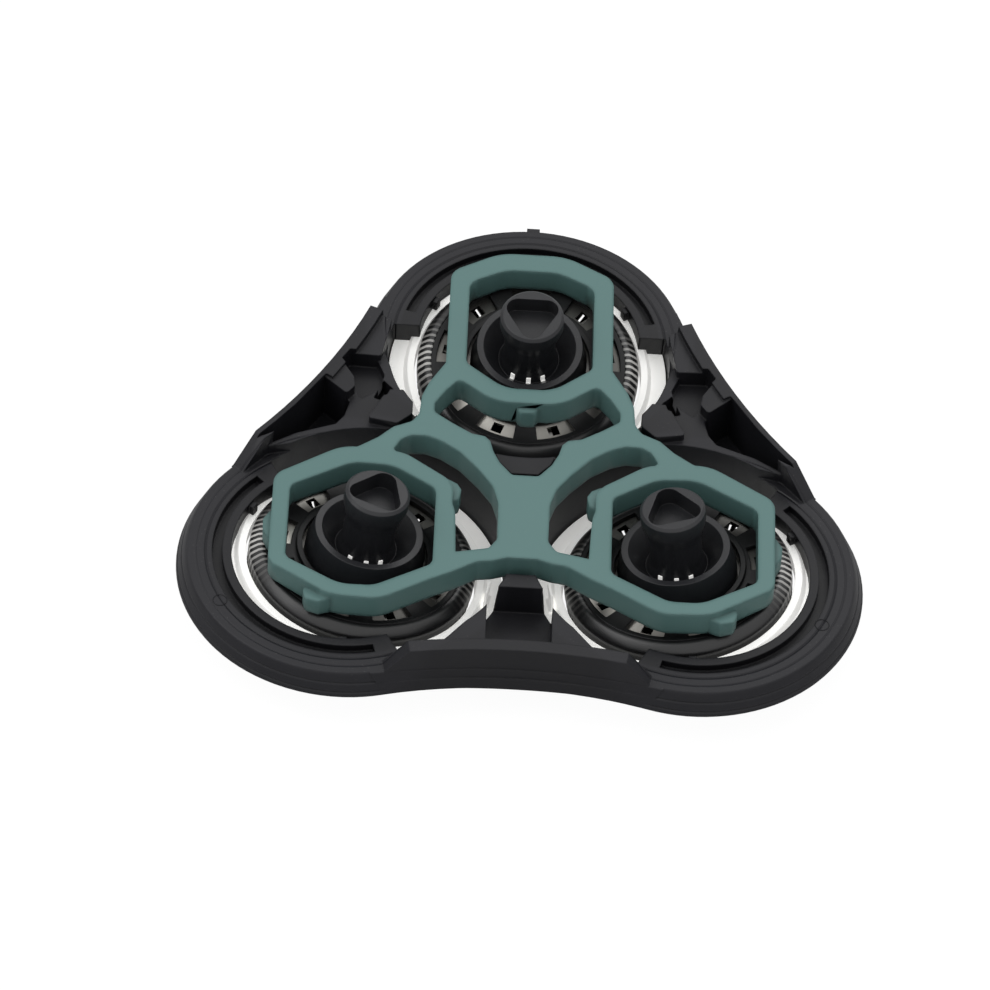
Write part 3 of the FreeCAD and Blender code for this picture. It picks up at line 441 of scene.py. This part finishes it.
def head_sector():
    """Masks about a head's middle: one side of it, for a painted reflection, and fine ticks on
    its left and right sides, for painted glints of a cap's slots.
    """
    group, enter, leave = shader_group(
        "head_sector", {"Middle X": 0.0, "Middle Y": 0.0, "Way X": -1.0, "Way Y": 0.0,
                        "Ticks": 90.0},
        {"Side": "NodeSocketFloat", "Ticks": "NodeSocketFloat"})
    nodes, links = group.nodes, group.links
    place = nodes.new("ShaderNodeSeparateXYZ")
    links.new(nodes.new("ShaderNodeTexCoord").outputs["Object"], place.inputs[0])
    across = calculation(nodes, links, "SUBTRACT", place.outputs["X"], enter.outputs["Middle X"])
    along = calculation(nodes, links, "SUBTRACT", place.outputs["Y"], enter.outputs["Middle Y"])
    turn = calculation(nodes, links, "ARCTAN2", along, across)
    wanted = calculation(nodes, links, "ARCTAN2", enter.outputs["Way Y"], enter.outputs["Way X"])
    off = calculation(nodes, links, "SUBTRACT", turn, wanted)
    near = calculation(nodes, links, "COSINE", off, clamp=True)
    links.new(calculation(nodes, links, "POWER", near, SIDE_POWER), leave.inputs["Side"])
    turns = calculation(nodes, links, "DIVIDE", turn, math.tau)
    steps = calculation(nodes, links, "MULTIPLY", turns, enter.outputs["Ticks"])
    wave = calculation(nodes, links, "FRACT", steps)
    tick = calculation(nodes, links, "LESS_THAN", wave, TICK_SHARE)
    level = calculation(nodes, links, "ABSOLUTE", calculation(nodes, links, "COSINE", turn))
    sides = calculation(nodes, links, "POWER", level, TICK_SIDE_POWER)
    links.new(calculation(nodes, links, "MULTIPLY", tick, sides), leave.inputs["Ticks"])
    return group


GROUPS = {make.__name__: make() for make in (moulded_grain, edge_wear_and_highlight, fine_dust, turned_lines,
                                             painted_hollow_shade, lobe_distance, head_sector)}


def placed(nodes, name, **values):
    """A shared group in a material, with its own values."""
    node = nodes.new("ShaderNodeGroup")
    node.node_tree = GROUPS[name]
    for label, value in values.items():
        node.inputs[label.replace("_", " ")].default_value = value
    return node


def spread(nodes, links, source, low, high):
    """A mask's 0 to 1 turned into low to high."""
    node = nodes.new("ShaderNodeMapRange")
    links.new(source, node.inputs["Value"])
    node.inputs["To Min"].default_value = low
    node.inputs["To Max"].default_value = high
    return node.outputs["Result"]


def blended(nodes, links, share, first, second):
    """Colour between two colours or sockets."""
    node = nodes.new("ShaderNodeMix")
    node.data_type = "RGBA"
    links.new(share, node.inputs["Factor"])
    for label, colour in (("A", first), ("B", second)):
        socket = next(s for s in node.inputs if s.name == label and s.type == "RGBA")
        if isinstance(colour, tuple):
            socket.default_value = (*colour, 1)
        else:
            links.new(colour, socket)
    return next(s for s in node.outputs if s.type == "RGBA")


def raised(nodes, links, height, strength, distance, normal=None):
    """Normal of a relief, over a given normal or the surface's own."""
    bump = nodes.new("ShaderNodeBump")
    if normal:
        links.new(normal, bump.inputs["Normal"])
    bump.inputs["Strength"].default_value = strength
    bump.inputs["Distance"].default_value = distance
    links.new(height, bump.inputs["Height"])
    return bump.outputs["Normal"]


def finish_of(material):
    """Nodes and links of a material, its shader, and what feeds the shader's Base Color."""
    nodes, links = material.node_tree.nodes, material.node_tree.links
    shader = next(node for node in nodes if node.type == "BSDF_PRINCIPLED")
    return nodes, links, shader, shader.inputs["Base Color"].links[0].from_socket


def plastic(name, base, light, rough=(0.38, 0.5), wear_and_highlight=0.2, dust=0.06, sheen=0.5, soft=0.12,
            deepest=0.25):
    """Moulded plastic: grain, mottled gloss, pale edges that are partly rubbed and partly a
    painted highlight, and a little dust.

    Its edges look rounded by soft millimetres, and its hollows are painted darker, as shade, down
    to the deepest share.
    """
    material, nodes, links = plain_material(name)
    shader = nodes.new("ShaderNodeBsdfPrincipled")
    surface = placed(nodes, "moulded_grain")
    rub_and_highlight = placed(nodes, "edge_wear_and_highlight", Amount=wear_and_highlight, Reach=soft * MM)
    specks = placed(nodes, "fine_dust", Amount=dust)
    mottle = spread(nodes, links, surface.outputs["Mottle"], 0.0, MOTTLE_SHARE)
    tone = blended(nodes, links, mottle, base, light)
    # Edges painted paler: partly rubbing, partly a painted highlight.
    worn_and_highlit = blended(nodes, links, rub_and_highlight.outputs["Mask"], tone,
                   tuple(part * RUBBED_AND_HIGHLIT_GAIN + RUBBED_AND_HIGHLIT_LIFT for part in light))
    # Painted shade: the colour darkens in hollows, towards the base colour times the deepest
    # share.
    shade = placed(nodes, "painted_hollow_shade", Deepest=deepest)
    open_tone = blended(nodes, links, shade.outputs["Factor"],
                        tuple(part * deepest for part in base), worn_and_highlit)
    dusty = blended(nodes, links, specks.outputs["Mask"], open_tone, DUST)
    links.new(dusty, shader.inputs["Base Color"])
    links.new(spread(nodes, links, surface.outputs["Mottle"], *rough), shader.inputs["Roughness"])
    links.new(raised(nodes, links, surface.outputs["Height"], *GRAIN_RELIEF,
                     rub_and_highlight.outputs["Soft normal"]), shader.inputs["Normal"])
    shader.inputs["Specular IOR Level"].default_value = sheen
    links.new(shader.outputs[0], nodes.new("ShaderNodeOutputMaterial").inputs["Surface"])
    return material


def steel(name, tint, rough, yaw, side_reflection=None, metal=1.0, glow=0.0):
    """Turned steel: fine rings round the head's axis and a slow change of gloss.

    Faces that look sideways or down take a second colour, a painted reflection such as brushed
    steel shows between strip lights.
    The glow is painted light: emission that stands in for the light coming up through the gaps
    from the white table.
    """
    material, nodes, links = plain_material(name)
    shader = nodes.new("ShaderNodeBsdfPrincipled")
    shader.inputs["Metallic"].default_value = metal
    mottle = placed(nodes, "moulded_grain").outputs["Mottle"]
    ring = placed(nodes, "turned_lines", Yaw=float(yaw))
    tone = blended(nodes, links, spread(nodes, links, mottle, 0.0, 1.0),
                   tuple(part * DULL_STEEL for part in tint), tint)
    # Painted reflection on faces that look sideways or down.
    if side_reflection:
        facing = nodes.new("ShaderNodeSeparateXYZ")
        links.new(nodes.new("ShaderNodeNewGeometry").outputs["Normal"], facing.inputs[0])
        sideways = calculation(nodes, links, "ABSOLUTE", facing.outputs["X"])
        across = calculation(nodes, links, "POWER", sideways, SIDEWAYS_POWER, clamp=True)
        down = calculation(nodes, links, "MULTIPLY", facing.outputs["Z"], DOWN_GAIN, clamp=True)
        share = calculation(nodes, links, "MAXIMUM", across, down)
        tone = blended(nodes, links, share, tone, side_reflection)
    links.new(tone, shader.inputs["Base Color"])
    shader.inputs["Emission Color"].default_value = (*tint, 1)
    shader.inputs["Emission Strength"].default_value = glow
    links.new(spread(nodes, links, ring.outputs["Height"], *rough), shader.inputs["Roughness"])
    links.new(raised(nodes, links, ring.outputs["Height"], *LINE_RELIEF),
              shader.inputs["Normal"])
    links.new(shader.outputs[0], nodes.new("ShaderNodeOutputMaterial").inputs["Surface"])
    return material


def stepped(nodes, links, source, stops):
    """Number that follows stops of place and value along a source between 0 and 1."""
    ramp = nodes.new("ShaderNodeValToRGB")
    links.new(source, ramp.inputs["Fac"])
    marks = ramp.color_ramp.elements
    while len(marks) < len(stops):
        marks.new(0.5)
    for mark, (place, value) in zip(marks, stops):
        mark.position = place
        mark.color = (value, value, value, 1)
    return ramp.outputs["Color"]


def frame_black():
    """Black of the head frame: painted shade darkens it on the lips and wings, with fine rings
    round each rim.
    """
    material = plastic("black_moulding", (0.0092, 0.0092, 0.0116), (0.0195, 0.0195, 0.0238),
                       dust=0.07, wear_and_highlight=0.3, sheen=0.27, soft=0.22)
    nodes, links, shader, tone = finish_of(material)
    away = placed(nodes, "lobe_distance").outputs["Share"]
    # Painted shade on the lips and wings, by distance from each lobe's middle.
    light = stepped(nodes, links, away, LIP_SHADE_STOPS)
    links.new(blended(nodes, links, light, LIP_SHADE_BLACK, tone), shader.inputs["Base Color"])
    rings = stepped(nodes, links, away, RIM_RINGS)
    grain = shader.inputs["Normal"].links[0].from_socket
    links.new(raised(nodes, links, rings, *RING_RELIEF, grain), shader.inputs["Normal"])
    return material


BLACK = frame_black()
GREEN = plastic("green_moulding", (0.075, 0.15, 0.143), (0.095, 0.18, 0.172), rough=(0.42, 0.55),
                wear_and_highlight=0.1, dust=0.05, sheen=0.35, soft=0.55, deepest=0.4)
DARK = plastic("carrier_black", (0.005, 0.0055, 0.006), (0.010, 0.011, 0.012), sheen=0.3)
GLOSSY = plastic("coupling_black", (0.011, 0.0115, 0.0135), (0.021, 0.0215, 0.0245),
                 rough=(0.3, 0.42), wear_and_highlight=0.25, sheen=0.4, deepest=0.5)


def smooth_by_angle(piece):
    """Smooth shading that breaks at sharp edges."""
    for face in piece.data.polygons:
        face.use_smooth = True
    split = piece.modifiers.new("split_sharp_edges", "EDGE_SPLIT")
    split.split_angle = math.radians(SHARP_ANGLE)
    normals = piece.modifiers.new("weighted_normals", "WEIGHTED_NORMAL")
    normals.keep_sharp = True


def dress(node, material, edge=0.0):
    """Gives a CAD node its finish, and rounds its edges by that many millimetres."""
    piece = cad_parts[node]
    piece.data.materials.clear()
    piece.data.materials.append(material)
    weld = piece.modifiers.new("weld", "WELD")
    weld.merge_threshold = WELD_DISTANCE * MM
    if edge:
        flat = piece.modifiers.new("flat", "DECIMATE")
        flat.decimate_type = "DISSOLVE"
        flat.angle_limit = math.radians(FLAT_ANGLE)
        bevel = piece.modifiers.new("rounded_edges", "BEVEL")
        bevel.width = edge * MM
        bevel.segments = 2
        bevel.limit_method = "ANGLE"
        bevel.angle_limit = math.radians(BEVEL_ANGLE)
        bevel.harden_normals = True
        bevel.miter_outer = "MITER_ARC"
    smooth_by_angle(piece)


def head_axes(head):
    """Turns a head's own leaning axes, in millimetres, into the scene's metres."""
    yaw = math.radians(HEADS[head])
    middle = HUB + Vector((HEAD_REACH * math.cos(yaw), HEAD_REACH * math.sin(yaw), HEAD_LEVEL))
    return (Matrix.Scale(MM, 4) @ Matrix.Translation(middle) @ Matrix.Rotation(yaw, 4, "Z")
            @ Matrix.Rotation(-math.radians(HEAD_LEAN), 4, "Y"))


def cap_edge(head):
    """Dark rolled edge of a cap, with painted glints of its slots as bright ticks on the left and
    right.
    """
    material = plastic(f"dark_cap_edge_{head}", (0.008, 0.008, 0.0085), (0.016, 0.016, 0.017),
                       rough=(0.26, 0.36), dust=0.04)
    nodes, links, shader, tone = finish_of(material)
    middle = head_axes(head).translation
    ticks = placed(nodes, "head_sector", Middle_X=middle.x, Middle_Y=middle.y)
    # Painted glints on the ticks of the slots.
    links.new(blended(nodes, links, ticks.outputs["Ticks"], tone, TICK_GLINT),
              shader.inputs["Base Color"])
    return material


def plate_steel(head, way):
    """Steel of a lock plate, with a painted reflection that is brightest on the side of its head
    that way points to.
    """
    material = steel(f"plate_steel_{head}", PLATE_STEEL, SATIN_ROUGHNESS, HEADS[head])
    nodes, links, shader, tone = finish_of(material)
    middle = head_axes(head).translation
    side = placed(nodes, "head_sector", Middle_X=middle.x, Middle_Y=middle.y, Way_X=way[0],
                  Way_Y=way[1])
    # Painted reflection on one side of the plate.
    links.new(blended(nodes, links, side.outputs["Side"], tone, PLATE_PAINTED_REFLECTION),
              shader.inputs["Base Color"])
    return material


# Small pieces that the solids leave out

def strip(path, width, thickness):
    """Corners and faces of a bent strip: its path lies in the XZ plane, and its width along Y."""
    rims = []
    for step, point in enumerate(path):
        before = Vector(path[max(step - 1, 0)])
        after = Vector(path[min(step + 1, len(path) - 1)])
        way = (after - before).normalized()
        away = Vector((-way.y, way.x)) * thickness / 2
        rims.append([(point[0] + side * away.x, along * width / 2, point[1] + side * away.y)
                     for side, along in ((-1, -1), (1, -1), (1, 1), (-1, 1))])
    corners = [corner for rim in rims for corner in rim]
    last = 4 * (len(rims) - 1)
    faces = [(0, 3, 2, 1)]
    for low in range(0, last, 4):
        high = low + 4
        faces += [(low + k, low + (k + 1) % 4, high + (k + 1) % 4, high + k) for k in range(4)]
    faces.append((last, last + 1, last + 2, last + 3))
    return corners, faces


def turned(profile, segments=144):
    """Corners and faces of a ring turned about Z from a closed profile of radius and height."""
    count = len(profile)
    corners = [(radius * math.cos(turn), radius * math.sin(turn), height)
               for turn in (math.tau * step / segments for step in range(segments))
               for radius, height in profile]
    faces = []
    for step in range(segments):
        here, there = step * count, (step + 1) % segments * count
        faces += [(here + k, there + k, there + (k + 1) % count, here + (k + 1) % count)
                  for k in range(count)]
    return corners, faces


def repeated(name, form, turns, material, body, axes, edge=TAB_EDGE):
    """One piece that repeats a form, given as corners and faces, at several turns about Z.

    It rides on the body, and its edges are rounded by edge millimetres.
    """
    corners, faces = [], []
    for turn in turns:
        first = len(corners)
        spin = Matrix.Rotation(math.radians(turn), 4, "Z")
        corners += [axes @ (spin @ Vector(corner)) for corner in form[0]]
        faces += [tuple(first + corner for corner in face) for face in form[1]]
    mesh = bpy.data.meshes.new(name)
    mesh.from_pydata(corners, [], faces)
    mesh.validate()
    mesh.update()
    piece = bpy.data.objects.new(name, mesh)
    bpy.context.scene.collection.objects.link(piece)
    mesh.materials.append(material)
    bevel = piece.modifiers.new("rounded_edges", "BEVEL")
    bevel.width = edge * MM
    bevel.segments = 3
    bevel.limit_method = "ANGLE"
    smooth_by_angle(piece)
    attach(piece, body)


make_camera()
make_floor()
make_sky()
for name, values in LAMPS.items():
    lamp(name, *values)

dress("head_frame", BLACK, FRAME_EDGE)
dress("retaining_frame", GREEN, RETAINER_EDGE)
for side, (across, along) in PIN_MARKS.items():
    place = Matrix.Scale(MM, 4) @ Matrix.Translation(HUB + Vector((across, along, RIM_TOP)))
    repeated(f"pin_mark_{side}", turned(PIN_MARK, PIN_MARK_SEGMENTS), [0], BLACK, "frame",
             place, PIN_MARK_EDGE)
for head, yaw in HEADS.items():
    # The bright ring's finish carries a painted glow, and the cutter tabs and ring ears share it.
    bright = steel(f"bright_ring_{head}", BRIGHT_STEEL, RING_ROUGHNESS, yaw, metal=RING_METAL,
                   glow=RING_PAINTED_GLOW)
    satin = steel(f"cap_steel_{head}", CAP_STEEL_DARK_REFLECTION, SATIN_ROUGHNESS, yaw, CAP_STEEL_SIDE_REFLECTION)
    blade = steel(f"cutter_steel_{head}", CUTTER_STEEL, SATIN_ROUGHNESS, yaw)
    dress(f"skin_ring_{head}", bright, RING_EDGE)
    dress(f"cap_{head}", satin)
    dress(f"cap_inlay_{head}", DARK, CAP_PART_EDGE)
    dress(f"cap_holder_{head}", DARK, CAP_PART_EDGE)
    dress(f"lock_plate_{head}", plate_steel(head, PLATE_REFLECTION_WAYS[head]))
    dress(f"cutter_{head}", blade)
    dress(f"coupling_{head}", GLOSSY)
    axes = head_axes(head)
    tab_turns = [CAMERA_SIDE - yaw + turn for turn in TAB_TURNS]
    repeated(f"cutter_tabs_{head}", strip(**TAB), tab_turns, bright, f"drive_{head}",
             axes)
    repeated(f"cap_edge_{head}", turned(CAP_EDGE), [0], cap_edge(head), f"unit_{head}",
             axes)
    repeated(f"ring_ears_{head}", strip(**EAR), EAR_TURNS, bright, "frame", axes)

bpy.context.scene.view_settings.view_transform = "Standard"
